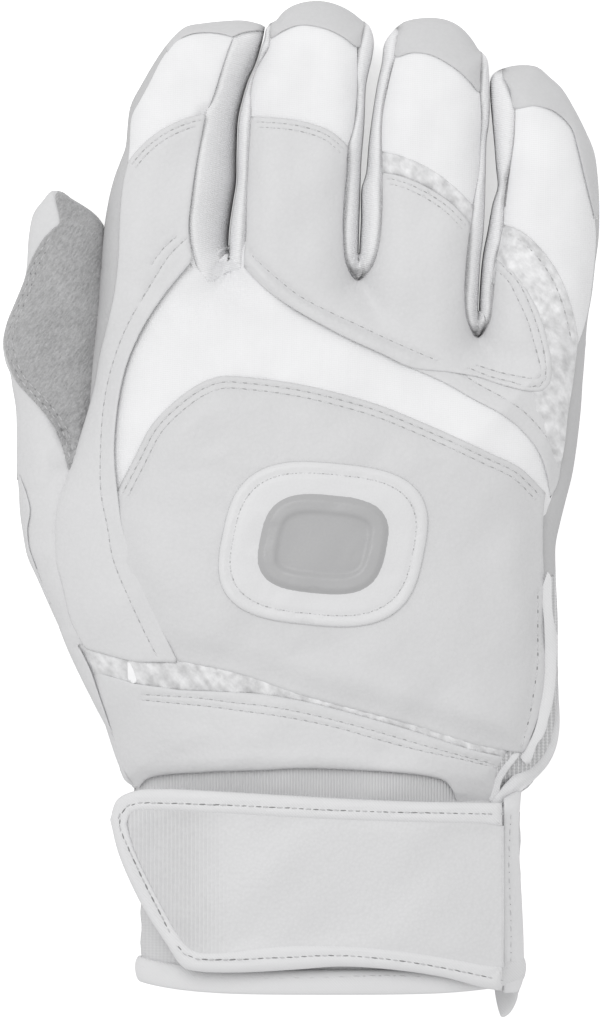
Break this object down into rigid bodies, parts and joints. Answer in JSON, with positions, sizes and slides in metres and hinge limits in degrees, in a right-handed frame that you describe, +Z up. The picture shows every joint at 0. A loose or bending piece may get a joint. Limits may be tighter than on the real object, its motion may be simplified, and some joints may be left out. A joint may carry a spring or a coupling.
{
  "type": "batting glove",
  "caption": "Right-hand batting glove with padded back, stretch knuckles, leather palm and a hook-and-loop wrist strap",
  "frame": {"origin": "middle of the flat palm side, on the surface that the glove lies on", "axes": "X from the thumb side to the little finger, Y from the cuff to the fingertips, Z up out of the back of the hand"},
  "size_m": [0.1283, 0.2189, 0.0402],
  "materials": {
    "palm_leather": "matt grey goat leather",
    "back_leather": "smooth pale synthetic leather",
    "cap_leather": "pale grey leather, fine grain",
    "suede": "napped grey suede",
    "stretch_knit": "white stretch knit, fine twill",
    "gloss_strip": "crinkled glossy film",
    "foam": "open-cell foam",
    "moulded_rubber": "moulded soft plastic",
    "rib_elastic": "ribbed elastic",
    "binding_tape": "soft coated binding tape",
    "cuff_knit": "grey knit",
    "hook_and_loop": "hook-and-loop fastener",
    "strap_leather": "pale synthetic leather"
  },
  "bodies": {
    "hand": {"palm_leather": "palm_leather", "index_side_panel": "back_leather", "thumb_base_panel": "back_leather", "knuckle_panel": "back_leather", "ring_gloss_band": "gloss_strip", "little_gloss_band": "gloss_strip", "flex_panel": "stretch_knit", "back_pad_cover": "back_leather", "back_pad_foam": "foam", "raised_patch": "moulded_rubber", "patch_motif": "moulded_rubber", "wrist_gloss_strip": "gloss_strip", "gauntlet_panel": "back_leather", "wrist_rib_band": "rib_elastic", "fourchette_index_middle": "stretch_knit", "fourchette_middle_ring": "stretch_knit", "fourchette_ring_little": "stretch_knit", "slit_front_binding": "binding_tape", "slit_rear_binding": "binding_tape", "slit_gusset": "cuff_knit", "cuff_band": "cuff_knit", "cuff_hem": "binding_tape", "loop_patch": "hook_and_loop", "side_band": "binding_tape", "pull_tab": "binding_tape"},
    "strap": {"strap_base": "strap_leather", "strap_binding": "binding_tape", "strap_panel": "moulded_rubber", "strap_hook_patch": "hook_and_loop"},
    "thumb": {"thumb_palm_leather": "suede", "thumb_back_leather": "back_leather"},
    "index_end": {"index_tip_cap": "cap_leather", "index_stretch_back": "stretch_knit", "index_front_leather": "palm_leather", "index_inner_wall": "stretch_knit"},
    "middle_end": {"middle_tip_cap": "cap_leather", "middle_stretch_back": "stretch_knit", "middle_front_leather": "palm_leather", "middle_outer_wall": "stretch_knit", "middle_inner_wall": "stretch_knit"},
    "ring_end": {"ring_tip_cap": "cap_leather", "ring_stretch_back": "stretch_knit", "ring_front_leather": "palm_leather", "ring_outer_wall": "stretch_knit", "ring_inner_wall": "stretch_knit"},
    "little_end": {"little_tip_cap": "cap_leather", "little_stretch_back": "stretch_knit", "little_front_leather": "palm_leather", "little_outer_wall": "stretch_knit"}
  },
  "joints": [
    {"name": "strap_open", "type": "hinge", "parent": "hand", "child": "strap", "pos_m": [0.0432, -0.08, 0.0299], "axis": [0, 1, 0], "range_deg": [0, 120]},
    {"name": "thumb_spread", "type": "hinge", "parent": "hand", "child": "thumb", "pos_m": [-0.06179, 0.01237, 0.01], "axis": [0, 0, 1], "range_deg": [0, 40], "stiffness_Nm_per_rad": 0.01},
    {"name": "index_bend", "type": "hinge", "parent": "hand", "child": "index_end", "pos_m": [-0.02838, 0.07972, 0], "axis": [-0.9768, 0.214, 0], "range_deg": [0, 60], "stiffness_Nm_per_rad": 0.01},
    {"name": "middle_bend", "type": "hinge", "parent": "hand", "child": "middle_end", "pos_m": [0.00064, 0.08256, 0], "axis": [-0.9941, 0.1089, 0], "range_deg": [0, 60], "stiffness_Nm_per_rad": 0.01},
    {"name": "ring_bend", "type": "hinge", "parent": "hand", "child": "ring_end", "pos_m": [0.02774, 0.07117, 0], "axis": [-0.9994, 0.0357, 0], "range_deg": [0, 60], "stiffness_Nm_per_rad": 0.01},
    {"name": "little_bend", "type": "hinge", "parent": "hand", "child": "little_end", "pos_m": [0.05192, 0.05782, 0], "axis": [-0.9973, -0.0732, 0], "range_deg": [0, 60], "stiffness_Nm_per_rad": 0.01}
  ]
}
